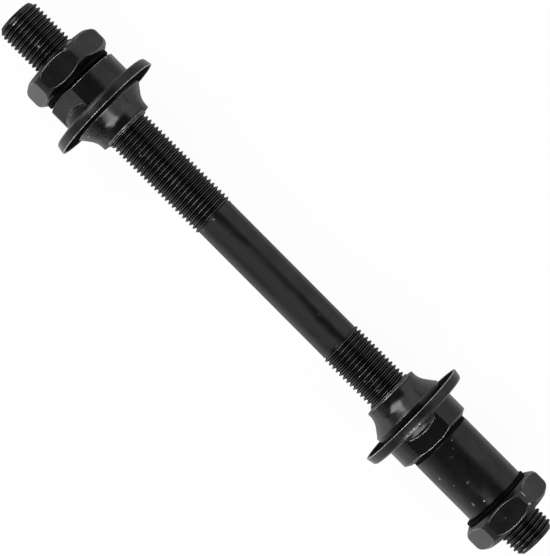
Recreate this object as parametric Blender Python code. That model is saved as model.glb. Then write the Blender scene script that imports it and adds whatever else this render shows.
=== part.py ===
# Rear hub axle set for a bicycle: a hollow threaded axle that carries, at each end, a bearing cone
# with a pressed dust cap, a thin washer and a lock nut, and on the right a long spacer as well.
# Metres, +Z up. X runs along the axle, +X towards the spacer, and the origin is the axle's middle.
import math

import bmesh
import bpy
from mathutils import Vector

MM = 0.001

# Axle: a hollow rod, threaded from both ends to a plain shank in the middle; 26 threads per inch
AXLE_LENGTH = 146.0 * MM
THREAD_PITCH = 25.4 / 26 * MM
THREAD_DIAMETER = 9.45 * MM
THREAD_ROOT_DIAMETER = 8.25 * MM
SHANK_DIAMETER = 8.63 * MM
BORE_DIAMETER = 6.0 * MM
LEFT_THREAD_LENGTH = 56.0 * MM
RIGHT_THREAD_LENGTH = 55.4 * MM
THREAD_RUNOUT = 0.6 * MM
END_CHAMFER = 1.0 * MM
BORE_CHAMFER = 0.25 * MM

# Where the lock nuts stand: the bare thread outside each of them
LEFT_STICK_OUT = 11.65 * MM
RIGHT_STICK_OUT = 5.6 * MM

# Lock nuts: hexagons with turned corners on both faces; the chamfer runs in from the corners
NUT_ACROSS_FLATS = 17.0 * MM
NUT_CORNER_DIAMETER = 18.8 * MM
NUT_CHAMFER = 1.5 * MM
NUT_CHAMFER_SLOPE = math.radians(56.0)
NUT_THICKNESS = 5.5 * MM
NUT_CORNER_ROUND = 1.5 * MM
LEFT_NUT_TURN = math.radians(8.5)
RIGHT_NUT_TURN = math.radians(-4.0)

# Washers and the spacer
WASHER_THICKNESS = 0.4 * MM
WASHER_EDGE = 0.08 * MM
LEFT_WASHER_DIAMETER = 15.8 * MM
RIGHT_WASHER_DIAMETER = 15.0 * MM
INNER_WASHER_DIAMETER = 13.4 * MM
SPACER_DIAMETER = 13.5 * MM
SPACER_LENGTH = 15.1 * MM
SPACER_CHAMFER = 0.25 * MM
SIDE_SHIFT = 0.3 * MM

# Cones: a body with two wrench flats and a sloping collar, then the ball race down to the nose
CONE_LENGTH = 13.5 * MM
CONE_BODY_DIAMETER = 16.54 * MM
CONE_CHAMFER_HEIGHT = 1.07 * MM
CONE_CHAMFER_LENGTH = 0.6 * MM
RACE_LENGTH = 4.85 * MM
RACE_ANGLE = math.radians(36.5)
RACE_ROUND = 4.2 * MM
NOSE_DIAMETER = 12.1 * MM
NOSE_TAPER_LENGTH = 0.4 * MM
NOSE_END_DIAMETER = 10.8 * MM
WRENCH_FLAT_DEPTH = 1.17 * MM
WRENCH_FLAT_LENGTH = 3.5 * MM
COLLAR_SLOPE_LENGTH = 1.7 * MM
LEFT_CONE_TURN = math.radians(47.0)
RIGHT_CONE_TURN = math.radians(-4.0)

# Dust caps: shallow cups of pressed sheet, open towards the middle of the axle; neither of them
# sits quite square on its cone
CAP_BACK_DIAMETER = 24.4 * MM
CAP_MOUTH_DIAMETER = 24.9 * MM
CAP_DEPTH = 2.1 * MM
CAP_SHEET = 0.7 * MM
CAP_CORNER_ROUND = 0.8 * MM
LEFT_CAP_PLACE = 5.68 * MM
RIGHT_CAP_PLACE = 5.12 * MM
LEFT_CAP_TILT = math.radians(0.75)
RIGHT_CAP_TILT = math.radians(0.8)

# Running clearances: round a shaft, and between faces that are clamped together
FIT_GAP = 0.3 * MM
SEAT_GAP = 0.25 * MM

# Facets round a turned piece and in one turn of the thread, the steps along a rounded edge or
# curve, and the angle above which an edge is shaded as a corner
SEGMENTS = 40
THREAD_SEGMENTS = 12
ROUND_STEPS = 4
CORNER_ANGLE = math.radians(25.0)

# How far a cutting tool reaches past the piece that it shapes, and how much thicker than its
# thread the blank of the axle is
TOOL_SPARE = 1.0 * MM
BLANK_SPARE = 0.08 * MM

# How near to a cutting plane an edge lies that belongs to the cut
ON_PLANE = 0.001 * MM

# The largest share of a step's height that a round at its foot may take
ROUND_SHARE = 0.9

THREAD_CLEAR_RADIUS = THREAD_DIAMETER / 2 + FIT_GAP


def clear_scene():
    for item in list(bpy.data.objects):
        bpy.data.objects.remove(item, do_unlink=True)


def finish(name, colour, roughness, metallic):
    material = bpy.data.materials.new(name)
    material.use_nodes = True
    shader = material.node_tree.nodes["Principled BSDF"]
    shader.inputs["Base Color"].default_value = (*colour, 1.0)
    shader.inputs["Roughness"].default_value = roughness
    shader.inputs["Metallic"].default_value = metallic
    return material


def new_object(name, mesh_builder, material):
    mesh = bpy.data.meshes.new(name)
    mesh_builder.normal_update()
    mesh_builder.to_mesh(mesh)
    mesh_builder.free()
    mesh.materials.append(material)
    mesh.shade_smooth()
    mesh.set_sharp_from_angle(angle=CORNER_ANGLE)
    body = bpy.data.objects.new(name, mesh)
    bpy.context.scene.collection.objects.link(body)
    return body


def turned(outline):
    """Revolve a closed outline of (x, radius) points round the X axis."""
    shape = bmesh.new()
    ring = [shape.verts.new((x, 0.0, radius)) for x, radius in outline]
    for start, end in zip(ring, ring[1:] + ring[:1]):
        shape.edges.new((start, end))
    bmesh.ops.spin(
        shape,
        geom=shape.verts[:] + shape.edges[:],
        cent=(0.0, 0.0, 0.0),
        axis=(1.0, 0.0, 0.0),
        angle=2 * math.pi,
        steps=SEGMENTS,
        use_merge=True,
    )
    bmesh.ops.recalc_face_normals(shape, faces=shape.faces)
    return shape


def trim(shape, **plane):
    """Cut a shape along a plane, take one side away and close the cut."""
    bmesh.ops.bisect_plane(
        shape,
        geom=shape.verts[:] + shape.edges[:] + shape.faces[:],
        dist=1e-7,
        **plane,
    )
    level = Vector(plane["plane_no"]).normalized()
    base = Vector(plane["plane_co"])
    rim = []
    for edge in shape.edges:
        on_plane = all(abs((corner.co - base).dot(level)) < ON_PLANE for corner in edge.verts)
        if edge.is_boundary and on_plane:
            rim.append(edge)
    bmesh.ops.edgeloop_fill(shape, edges=rim)
    bmesh.ops.recalc_face_normals(shape, faces=shape.faces)


def arc(centre_x, centre_radius, size, start, end, steps=ROUND_STEPS):
    """Points along a circular arc in the (x, radius) plane; angles are measured from +x."""
    points = []
    for step in range(steps + 1):
        angle = start + (end - start) * step / steps
        points.append((centre_x + size * math.cos(angle), centre_radius + size * math.sin(angle)))
    return points


def cutter(name, shape, owner):
    """A hidden tool body, which moves with the piece that it shapes."""
    mesh = bpy.data.meshes.new(name)
    shape.to_mesh(mesh)
    shape.free()
    tool = bpy.data.objects.new(name, mesh)
    bpy.context.scene.collection.objects.link(tool)
    tool.parent = owner
    tool.hide_render = True
    tool.display_type = "WIRE"
    return tool


def boolean(body, tool, operation):
    step = body.modifiers.new(tool.name, "BOOLEAN")
    step.operation = operation
    step.solver = "EXACT"
    step.object = tool


# Axle

def axle_blank():
    """The turned rod before its thread is cut, with its bore, chamfers and shank."""
    half = AXLE_LENGTH / 2
    blank = THREAD_DIAMETER / 2 + BLANK_SPARE
    chamfer = END_CHAMFER + BLANK_SPARE
    shank = SHANK_DIAMETER / 2
    bore = BORE_DIAMETER / 2
    left_end = LEFT_THREAD_LENGTH - half
    right_end = half - RIGHT_THREAD_LENGTH
    return turned([
        (-half, bore + BORE_CHAMFER),
        (-half, blank - chamfer),
        (-half + chamfer, blank),
        (left_end - THREAD_RUNOUT, blank),
        (left_end, shank),
        (right_end, shank),
        (right_end + THREAD_RUNOUT, blank),
        (half - chamfer, blank),
        (half, blank - chamfer),
        (half, bore + BORE_CHAMFER),
        (half - BORE_CHAMFER, bore),
        (-half + BORE_CHAMFER, bore),
    ])


def thread_form():
    """A rod with the thread wound along all of it; round the shank it is thicker than the blank."""
    half = AXLE_LENGTH / 2
    reach = half + TOOL_SPARE
    left_end = LEFT_THREAD_LENGTH - half
    right_end = half - RIGHT_THREAD_LENGTH
    root = THREAD_ROOT_DIAMETER / 2
    crest = THREAD_DIAMETER / 2
    over_shank = crest + 2 * BLANK_SPARE
    turns_past_end = math.ceil(TOOL_SPARE / THREAD_PITCH) + 1
    start = -half - turns_past_end * THREAD_PITCH
    rows = 2 * math.ceil((reach - start) / THREAD_PITCH) + 4
    shape = bmesh.new()
    grid = []
    for row in range(rows):
        ring = []
        for facet in range(THREAD_SEGMENTS):
            share_of_turn = facet / THREAD_SEGMENTS
            angle = 2 * math.pi * share_of_turn
            x = start + (row / 2 + share_of_turn) * THREAD_PITCH
            if left_end < x < right_end:
                radius = over_shank
            else:
                radius = crest if row % 2 else root
            point = (x, -radius * math.sin(angle), radius * math.cos(angle))
            ring.append(shape.verts.new(point))
        grid.append(ring)
    for row in range(rows - 3):
        for facet in range(THREAD_SEGMENTS):
            if facet + 1 < THREAD_SEGMENTS:
                ahead = (grid[row + 1][facet + 1], grid[row][facet + 1])
            else:
                ahead = (grid[row + 3][0], grid[row + 2][0])
            shape.faces.new((grid[row][facet], grid[row + 1][facet], *ahead))
    for side in (-1.0, 1.0):
        trim(shape, plane_co=(side * reach, 0.0, 0.0), plane_no=(side, 0.0, 0.0), clear_outer=True)
    return shape


def make_axle(material):
    axle = new_object("axle", axle_blank(), material)
    boolean(axle, cutter("axle_thread", thread_form(), axle), "INTERSECT")
    return axle


# Lock nuts

def nut_outline():
    """Face, chamfer and rounded corner, the same on both sides."""
    corner = NUT_CORNER_DIAMETER / 2
    face = corner - NUT_CHAMFER
    centre_radius = corner - NUT_CORNER_ROUND
    round_start = centre_radius + NUT_CORNER_ROUND * math.cos(NUT_CHAMFER_SLOPE)
    chamfer_length = (round_start - face) / math.tan(NUT_CHAMFER_SLOPE)
    centre_x = chamfer_length + NUT_CORNER_ROUND * math.sin(NUT_CHAMFER_SLOPE)
    side = [(0.0, face)]
    side += arc(
        centre_x,
        centre_radius,
        NUT_CORNER_ROUND,
        math.pi / 2 + NUT_CHAMFER_SLOPE,
        math.pi / 2,
    )
    mirrored = [(NUT_THICKNESS - x, radius) for x, radius in reversed(side)]
    bore = THREAD_CLEAR_RADIUS
    return [(0.0, bore)] + side + mirrored + [(NUT_THICKNESS, bore)]


def hexagon():
    """A prism with one flat facing +Z, longer than the nut on both sides."""
    reach = NUT_ACROSS_FLATS / math.sqrt(3.0)
    shape = bmesh.new()
    corners = []
    for index in range(6):
        angle = index * math.pi / 3
        corner = (-TOOL_SPARE, reach * math.cos(angle), reach * math.sin(angle))
        corners.append(shape.verts.new(corner))
    base = shape.faces.new(corners)
    grown = bmesh.ops.extrude_face_region(shape, geom=[base])
    top = [item for item in grown["geom"] if isinstance(item, bmesh.types.BMVert)]
    bmesh.ops.translate(shape, verts=top, vec=(NUT_THICKNESS + 2 * TOOL_SPARE, 0.0, 0.0))
    bmesh.ops.recalc_face_normals(shape, faces=shape.faces)
    return shape


def make_lock_nut(name, end, place, turn, material):
    nut = new_object(name, turned(nut_outline()), material)
    nut.parent = end
    nut.location.x = place
    nut.rotation_euler.x = turn
    boolean(nut, cutter(name + "_hexagon", hexagon(), nut), "INTERSECT")
    return nut


# Washers and the spacer

def make_ring(name, end, place, diameter, length, bore, chamfer, shift, material):
    """A plain turned ring; shift is how far it has dropped to one side on the axle."""
    outer = diameter / 2
    outline = [
        (0.0, bore),
        (0.0, outer - chamfer),
        (chamfer, outer),
        (length - chamfer, outer),
        (length, outer - chamfer),
        (length, bore),
    ]
    ring = new_object(name, turned(outline), material)
    ring.parent = end
    ring.location = (place, shift, 0.0)
    return ring


# Cones

def cone_outline():
    """Chamfered outer end, body, race, nose and its tapered end, from the outer end inwards."""
    body = CONE_BODY_DIAMETER / 2
    face = body - CONE_CHAMFER_HEIGHT
    nose = NOSE_DIAMETER / 2
    bore = THREAD_CLEAR_RADIUS
    nose_end = CONE_LENGTH - NOSE_TAPER_LENGTH
    race_start = nose_end - RACE_LENGTH
    height_per_radius = 1.0 - math.cos(RACE_ANGLE)
    race_round = min(RACE_ROUND, ROUND_SHARE * (body - nose) / height_per_radius)
    tangent_radius = nose + race_round * height_per_radius
    tangent_x = race_start + (body - tangent_radius) / math.tan(RACE_ANGLE)
    round_centre_x = tangent_x + race_round * math.sin(RACE_ANGLE)
    outline = [
        (0.0, bore),
        (0.0, face),
        (CONE_CHAMFER_LENGTH, body),
        (race_start, body),
    ]
    outline += arc(
        round_centre_x,
        nose + race_round,
        race_round,
        -math.pi / 2 - RACE_ANGLE,
        -math.pi / 2,
    )
    outline += [
        (nose_end, nose),
        (CONE_LENGTH, NOSE_END_DIAMETER / 2),
        (CONE_LENGTH, bore),
    ]
    return outline


def wrench_flat_tool(side):
    """What a wrench flat takes away: outside the flat's plane, up to the sloping collar."""
    flat = CONE_BODY_DIAMETER / 2 - WRENCH_FLAT_DEPTH
    outside = CONE_BODY_DIAMETER
    slope = WRENCH_FLAT_DEPTH / COLLAR_SLOPE_LENGTH
    low = flat - TOOL_SPARE
    low_x = WRENCH_FLAT_LENGTH - TOOL_SPARE / slope
    high_x = WRENCH_FLAT_LENGTH + (outside - flat) / slope
    shape = turned([
        (-TOOL_SPARE, low),
        (low_x, low),
        (high_x, outside),
        (-TOOL_SPARE, outside),
    ])
    trim(shape, plane_co=(0.0, 0.0, side * flat), plane_no=(0.0, 0.0, side), clear_inner=True)
    return shape


def make_cone(name, end, place, turn, material):
    cone = new_object(name, turned(cone_outline()), material)
    cone.parent = end
    cone.location.x = place
    cone.rotation_euler.x = turn
    for label, side in (("upper", 1.0), ("lower", -1.0)):
        boolean(cone, cutter(f"{name}_{label}_flat", wrench_flat_tool(side), cone), "DIFFERENCE")
    return cone


# Dust caps

def cap_outline():
    """Section of the pressed cup, with its back at zero and its mouth inwards."""
    hole = CONE_BODY_DIAMETER / 2 + FIT_GAP
    back = CAP_BACK_DIAMETER / 2
    mouth = CAP_MOUTH_DIAMETER / 2
    outer_round = CAP_CORNER_ROUND
    inner_round = max(CAP_CORNER_ROUND - CAP_SHEET, CAP_SHEET / 5)
    outside = arc(outer_round, back - outer_round, outer_round, math.pi, math.pi / 2)
    inside = arc(
        CAP_SHEET + inner_round,
        back - CAP_SHEET - inner_round,
        inner_round,
        math.pi / 2,
        math.pi,
        steps=2,
    )
    return (
        [(0.0, hole)]
        + outside
        + [(CAP_DEPTH, mouth), (CAP_DEPTH, mouth - CAP_SHEET)]
        + inside
        + [(CAP_SHEET, hole)]
    )


def make_dust_cap(name, end, place, tilt, material):
    """The tilt is round the middle of the hole that grips the cone."""
    middle = CAP_SHEET / 2
    shape = turned(cap_outline())
    bmesh.ops.translate(shape, verts=shape.verts, vec=(-middle, 0.0, 0.0))
    cap = new_object(name, shape, material)
    cap.parent = end
    cap.location.x = place + middle
    cap.rotation_euler.z = tilt
    return cap


# Assembly

def axle_end(name, x, turn):
    """The frame of one end of the axle: its local X points in along the axle."""
    end = bpy.data.objects.new(name, None)
    bpy.context.scene.collection.objects.link(end)
    end.location.x = x
    end.rotation_euler.z = turn
    return end


def main():
    clear_scene()
    dark_steel = finish("dark_axle_steel", (0.030, 0.030, 0.032), 0.42, 0.85)
    cone_steel = finish("dark_cone_steel", (0.026, 0.026, 0.028), 0.34, 0.90)
    cap_steel = finish("black_pressed_steel", (0.022, 0.022, 0.024), 0.38, 0.85)
    nut_steel = finish("dark_nut_steel", (0.034, 0.034, 0.036), 0.45, 0.85)
    ring_steel = finish("dark_ring_steel", (0.028, 0.028, 0.030), 0.40, 0.85)

    make_axle(dark_steel)
    left_end = axle_end("left_end", -AXLE_LENGTH / 2, 0.0)
    right_end = axle_end("right_end", AXLE_LENGTH / 2, math.pi)

    # Left end, from the outside in
    place = LEFT_STICK_OUT
    make_lock_nut("left_lock_nut", left_end, place, LEFT_NUT_TURN, nut_steel)
    place += NUT_THICKNESS + SEAT_GAP
    make_ring("left_lock_washer", left_end, place, LEFT_WASHER_DIAMETER, WASHER_THICKNESS,
              THREAD_CLEAR_RADIUS, WASHER_EDGE, 0.0, ring_steel)
    place += WASHER_THICKNESS + SEAT_GAP
    make_cone("left_cone", left_end, place, LEFT_CONE_TURN, cone_steel)
    make_dust_cap("left_dust_cap", left_end, place + LEFT_CAP_PLACE, LEFT_CAP_TILT, cap_steel)

    # Right end, from the outside in; the spacer and the washer behind it have dropped to +Y
    loose_bore = THREAD_CLEAR_RADIUS + SIDE_SHIFT
    place = RIGHT_STICK_OUT
    make_lock_nut("right_lock_nut", right_end, place, RIGHT_NUT_TURN, nut_steel)
    place += NUT_THICKNESS + SEAT_GAP
    make_ring("right_lock_washer", right_end, place, RIGHT_WASHER_DIAMETER, WASHER_THICKNESS,
              THREAD_CLEAR_RADIUS, WASHER_EDGE, 0.0, ring_steel)
    place += WASHER_THICKNESS + SEAT_GAP
    make_ring("right_spacer", right_end, place, SPACER_DIAMETER, SPACER_LENGTH,
              loose_bore, SPACER_CHAMFER, -SIDE_SHIFT, ring_steel)
    place += SPACER_LENGTH + SEAT_GAP
    make_ring("right_inner_washer", right_end, place, INNER_WASHER_DIAMETER, WASHER_THICKNESS,
              loose_bore, WASHER_EDGE, -SIDE_SHIFT, ring_steel)
    place += WASHER_THICKNESS + SEAT_GAP
    make_cone("right_cone", right_end, place, RIGHT_CONE_TURN, cone_steel)
    make_dust_cap("right_dust_cap", right_end, place + RIGHT_CAP_PLACE, RIGHT_CAP_TILT, cap_steel)


main()
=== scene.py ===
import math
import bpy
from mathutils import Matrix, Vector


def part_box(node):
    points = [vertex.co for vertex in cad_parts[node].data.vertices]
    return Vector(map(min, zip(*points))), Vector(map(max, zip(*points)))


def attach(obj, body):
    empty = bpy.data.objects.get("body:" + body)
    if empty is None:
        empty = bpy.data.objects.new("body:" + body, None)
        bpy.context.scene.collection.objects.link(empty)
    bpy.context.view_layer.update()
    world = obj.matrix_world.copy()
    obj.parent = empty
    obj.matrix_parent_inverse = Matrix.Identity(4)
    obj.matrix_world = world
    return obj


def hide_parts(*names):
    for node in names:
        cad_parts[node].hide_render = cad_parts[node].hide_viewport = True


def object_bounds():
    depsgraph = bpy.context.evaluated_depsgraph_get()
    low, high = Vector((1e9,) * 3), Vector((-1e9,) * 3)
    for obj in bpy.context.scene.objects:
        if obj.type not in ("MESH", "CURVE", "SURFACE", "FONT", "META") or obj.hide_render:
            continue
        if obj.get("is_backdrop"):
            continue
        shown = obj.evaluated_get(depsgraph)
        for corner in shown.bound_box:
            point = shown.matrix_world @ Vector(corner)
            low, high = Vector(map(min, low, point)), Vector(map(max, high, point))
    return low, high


bl_info = {
    "name": "Rear hub axle set",
    "version": (1, 0, 0),
    "blender": (4, 5, 0),
    "location": "3D View > Sidebar > Hub axle",
    "description": "Builds the finished pieces of a rear hub axle set round its packed frame",
    "category": "Add Mesh",
}

import bpy
from bpy.props import FloatProperty, FloatVectorProperty, IntProperty, PointerProperty
from bpy.types import Operator, Panel, PropertyGroup
from mathutils import Vector

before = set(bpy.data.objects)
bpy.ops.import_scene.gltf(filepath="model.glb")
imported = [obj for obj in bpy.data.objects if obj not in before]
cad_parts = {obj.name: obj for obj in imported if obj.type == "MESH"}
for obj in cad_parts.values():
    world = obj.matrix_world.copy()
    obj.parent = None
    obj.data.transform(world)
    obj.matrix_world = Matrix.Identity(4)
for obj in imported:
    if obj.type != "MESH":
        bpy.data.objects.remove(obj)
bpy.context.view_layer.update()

MM = 0.001
WELD = 1e-6

# How far a hole stands off what fills it, and a loose ring off the thread
HOLE_CLEARANCE = 0.02 * MM
LOOSE_CLEARANCE = 0.3 * MM

# Rubbed marks, painted glints and a patch of painted shade that the photo shows: place along the axle
# and across it and half lengths, all in millimetres, then how bare the steel is, or how dark the
# shade
SPACER_MARKS = (
    (59.5, -1.8, 0.20, 0.20, 1.0),
    (58.6, -3.8, 0.40, 0.30, 0.5),
    (54.7, -1.5, 0.12, 0.45, 0.5),
    (46.6, 2.1, 0.18, 0.18, 0.6),
    (48.0, 1.1, 0.30, 0.14, 0.3),
    (48.9, -0.3, 0.35, 0.12, 0.3),
    (53.4, -3.9, 0.30, 0.12, 0.35),
    (50.4, -5.0, 0.40, 0.10, 0.45),
)
NUT_MARKS = (
    (-55.9, -5.9, 0.35, 0.45, 0.35),
    (-55.6, -6.9, 0.30, 0.25, 0.6),
    (-61.1, 3.9, 0.35, 0.9, 0.5),
    (-60.6, 2.4, 0.2, 0.3, 0.5),
    (65.9, 4.0, 0.30, 0.30, 0.8),
    (63.8, 4.5, 0.75, 0.12, 0.5),
    (64.6, -1.2, 0.14, 0.14, 0.4),
    (-54.9, 5.6, 0.20, 0.30, 0.5),
)
# Painted glints on the axle: short streaks of bare steel on the thread's crests where highlights fall
AXLE_PAINTED_GLINTS = (
    (-71.5, -1.0, 0.15, 0.50, 1.0),
    (-65.0, -0.9, 0.30, 0.30, 1.0),
    (-51.0, -0.9, 0.30, 0.20, 0.8),
    (-35.8, -1.8, 0.22, 0.40, 0.5),
    (-16.8, -0.5, 0.35, 0.30, 0.35),
    (18.7, -1.2, 0.15, 0.45, 0.3),
    (25.2, -2.0, 0.15, 0.40, 0.8),
    (26.6, -1.9, 0.15, 0.40, 0.8),
    (29.6, -1.5, 0.15, 0.45, 0.8),
    (70.3, -2.9, 0.15, 0.55, 0.9),
    (71.3, -2.6, 0.15, 0.60, 0.9),
    (72.2, -2.9, 0.15, 0.45, 0.9),
)
# Painted shade: a dark patch on the left race's lower flank, where less light reaches it
RACE_PAINTED_SHADE = (
    (-45.2, -4.6, 2.8, 2.2, 1.0),
)
# Painted glints at both caps' mouths, and a painted highlight along the right cap's rear corner
CAP_PAINTED_GLINTS = (
    (-47.0, -8.4, 0.25, 0.25, 0.8),
    (37.6, -8.6, 0.25, 0.25, 0.8),
    (39.7, -1.6, 0.25, 2.6, 0.9),
)

# A mark's centre lies this high over the axle's middle, and its half height is this large, which
# leaves it strongest on the upper side
MARK_CENTRE = 5 * MM
MARK_HALF_HEIGHT = 30 * MM


# Sizes and colours that a user would change

def length(name, description, default_mm):
    return FloatProperty(name=name, description=description, default=default_mm * MM,
                         unit="LENGTH", subtype="DISTANCE", precision=5)


def tint(name, description, value):
    return FloatVectorProperty(name=name, description=description, default=value,
                               subtype="COLOR", size=3, min=0.0, max=1.0)


def angle(name, description, degrees):
    return FloatProperty(name=name, description=description, default=math.radians(degrees),
                         subtype="ANGLE")


def level(name, description, value):
    return FloatProperty(name=name, description=description, default=value, min=0.0)


def count(name, description, value):
    return IntProperty(name=name, description=description, default=value, min=3)


class HubAxleRod(PropertyGroup):
    pitch: length("Pitch", "Thread pitch, 26 threads per inch", 25.4 / 26)
    crest: length("Crest diameter", "Outside diameter of the thread", 9.45)
    root: length("Root diameter", "Diameter at the bottom of the thread", 8.25)
    shank: length("Shank diameter", "Plain middle of the axle", 8.63)
    left_thread: length("Left thread", "Length of thread from the left end", 56.0)
    right_thread: length("Right thread", "Length of thread from the right end", 55.4)
    fade: length("Run-out", "Length over which the thread fades into the shank", 0.9)
    end_chamfer: length("End chamfer", "Turned chamfer at both ends", 1.0)
    bore: length("Bore", "Through bore for the skewer", 6.0)
    bore_chamfer: length("Bore chamfer", "Countersink at the mouths of the bore", 0.25)
    facets: count("Facets", "Facets in one turn of the thread", 60)


class HubAxleNuts(PropertyGroup):
    flats: length("Across flats", "Size of the hexagon", 17.0)
    corner: length("Corner diameter", "Turned diameter over the corners", 18.8)
    chamfer: length("Chamfer", "How far the chamfer runs in from the corners", 1.5)
    chamfer_slope: angle("Chamfer slope", "Slope of the chamfer from the axle's direction", 56.0)
    corner_round: length("Corner rounding", "Rounding between chamfer and corner", 1.5)
    edge: length("Edge", "Worn rounding of the sharp edges", 0.09)
    thread_lead: length("Thread lead", "Countersink at the mouths of the threaded hole", 0.45)
    left_turn: angle("Left turn", "How the left nut is turned about the axle", 8.5)
    right_turn: angle("Right turn", "How the right nut is turned about the axle", 4.0)
    facets: count("Facets", "Facets in one turn of the chamfered corners", 96)


class HubAxleRings(PropertyGroup):
    washer_edge: length("Washer edge", "Rounding of the washers' edges", 0.03)
    gap_fill: length("Gap fill", "How far the washers reach into the gaps beside them", 0.12)
    spacer_fill: length("Spacer fill", "How far the spacer reaches into the gaps beside it", 0.12)
    spacer_edge: length("Spacer edge", "Rounding of the spacer's ends", 0.12)
    facets: count("Facets", "Facets in one turn", 96)


class HubAxleCones(PropertyGroup):
    face: length("Face diameter", "Flat outer face", 14.4)
    chamfer: length("Outer chamfer", "Length of the chamfer at the outer end", 0.6)
    body: length("Body diameter", "Turned body under the dust cap", 16.54)
    race_length: length("Race length", "From the body to the nose's edge", 4.75)
    race_angle: angle("Race angle", "Slope of the straight part of the race", 36.5)
    race_lip: length("Race lip", "Length of the steeper outermost part of the race", 0.45)
    race_lip_drop: length("Race lip drop", "How far the race falls along that part", 0.43)
    race_round: length("Race rounding", "Radius of the ball track", 4.2)
    nose: length("Nose diameter", "Cylindrical nose", 12.1)
    nose_lip: length("Nose lip", "Diameter of the low lip at the mouth of the hole", 9.9)
    lip_length: length("Lip length", "How far that lip stands out of the nose", 0.4)
    flats: length("Across flats", "Over the two wrench flats", 14.2)
    flat_length: length("Flat length", "From the outer face to the collar", 3.3)
    collar_slope: length("Collar slope", "Length of the sloping collar", 1.8)
    collar_run: length("Collar run", "Length of its steeper foot", 0.7)
    collar_rise: length("Collar rise", "Height of its steeper foot", 0.78)
    edge: length("Edge", "Worn rounding of the sharp edges", 0.08)
    left_turn: angle("Left turn", "How the left cone is turned about the axle", 47.0)
    right_turn: angle("Right turn", "How the right cone is turned about the axle", 4.0)
    facets: count("Facets", "Facets in one turn", 128)
    collar_facets: count("Collar facets", "Facets in one turn of the sloping collar", 96)


class HubAxleCaps(PropertyGroup):
    back: length("Back diameter", "Outside of the cup behind the rounded corner", 24.4)
    mouth: length("Mouth diameter", "Outside of the cup at its rim", 24.9)
    depth: length("Depth", "From the back to the mouth", 2.1)
    sheet: length("Sheet", "Thickness of the pressed sheet", 0.7)
    corner: length("Corner rounding", "Outside rounding of the pressed corner", 0.8)
    edge: length("Edge", "Rounding of the cut edges", 0.1)
    left_tilt: angle("Left tilt", "How far the left cap is out of square", 0.75)
    right_tilt: angle("Right tilt", "How far the right cap is out of square", 0.8)
    facets: count("Facets", "Facets in one turn", 160)


class HubAxleFinish(PropertyGroup):
    oxide: tint("Oxide", "Black oxide on the turned pieces", (0.038, 0.038, 0.039))
    nut_oxide: tint("Nut oxide", "Black oxide on the lock nuts", (0.048, 0.048, 0.049))
    cap_oxide: tint("Cap oxide", "Black oxide on the pressed caps", (0.040, 0.040, 0.041))
    # Partly painted shade: the washers' black is darker than the oxide and stands for the shade in
    # the gaps beside them
    washer_oxide_and_gap_shade: tint("Washer oxide", "Dull black of the thin washers", (0.007, 0.007, 0.007))
    # Painted light: a lighter, blotchy tone on the near side of the axle's shank
    near_side_light: tint("Near side light", "Blotchy near side of the axle's shank", (0.052, 0.052, 0.052))
    race: tint("Ground race", "Polished ball race of the cones", (0.055, 0.055, 0.056))
    bare: tint("Bare steel", "Steel where the oxide has rubbed off", (0.64, 0.64, 0.63))


class HubAxleStage(PropertyGroup):
    distance: length("Camera distance", "From the camera to the axle", 555.0)
    aim_x: length("Aim along the axle", "Where the camera stands along the axle", -0.172)
    aim_y: length("Aim across the axle", "Where the camera stands across the axle", -0.07)
    turn: angle("Camera turn", "Slant of the axle across the picture", 45.13)
    lens: FloatProperty(name="Lens", description="Focal length in millimetres", default=181.9)
    floor: tint("Floor", "Plain pale floor", (0.90, 0.90, 0.90))
    floor_near: level("Near floor", "Brightness of the near floor in reflections", 1.25)
    floor_far: level("Far floor", "Brightness of the far floor in reflections", 0.74)
    floor_ends: level("Floor past the ends", "Share of that brightness left past both ends", 0.35)
    under: level("Under", "Share of that brightness left in the shade right under the axle", 0.15)
    far_wall: level("Far wall", "Brightness of the tent's far wall", 0.76)
    near_wall: level("Near wall", "Brightness of the tent's near wall", 0.29)
    horizon: level("Horizon", "Extra brightness of the near wall's foot", 0.45)
    top: level("Top", "Brightness of the tent's dark top", 0.12)
    end_walls: level("End walls", "Brightness of the tent's ends on the far side", 0.60)
    end_boxes: level("End boxes", "Brightness of the soft boxes past both ends", 3.5)


class HubAxleSettings(PropertyGroup):
    rod: PointerProperty(type=HubAxleRod)
    nuts: PointerProperty(type=HubAxleNuts)
    rings: PointerProperty(type=HubAxleRings)
    cones: PointerProperty(type=HubAxleCones)
    caps: PointerProperty(type=HubAxleCaps)
    finish: PointerProperty(type=HubAxleFinish)
    stage: PointerProperty(type=HubAxleStage)


# Modelling helpers

def deselect_all():
    for item in bpy.context.selected_objects:
        item.select_set(False)
    bpy.context.view_layer.objects.active = None


def select_only(piece):
    deselect_all()
    piece.select_set(True)
    bpy.context.view_layer.objects.active = piece


def add_modifier(piece, kind):
    select_only(piece)
    bpy.ops.object.modifier_add(type=kind)
    return piece.modifiers[-1]


def merge_doubles():
    bpy.ops.mesh.select_all(action="SELECT")
    bpy.ops.mesh.remove_doubles(threshold=WELD)


def face_outwards():
    bpy.ops.mesh.select_all(action="SELECT")
    bpy.ops.mesh.normals_make_consistent(inside=False)


def draw_outline(name, outline):
    """A new mesh object whose edges run through the (x, radius) points, drawn by extruding."""
    deselect_all()
    bpy.ops.mesh.primitive_plane_add(size=1.0)
    piece = bpy.context.object
    piece.name = name
    piece.data.name = name
    bpy.ops.object.mode_set(mode="EDIT")
    bpy.ops.mesh.select_mode(type="VERT")
    bpy.ops.mesh.select_all(action="SELECT")
    bpy.ops.mesh.merge(type="CENTER")
    bpy.ops.transform.translate(value=(outline[0][0], 0.0, outline[0][1]))
    for here, there in zip(outline, outline[1:]):
        step = (there[0] - here[0], 0.0, there[1] - here[1])
        bpy.ops.mesh.extrude_region_move(TRANSFORM_OT_translate={"value": step})
    return piece


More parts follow.
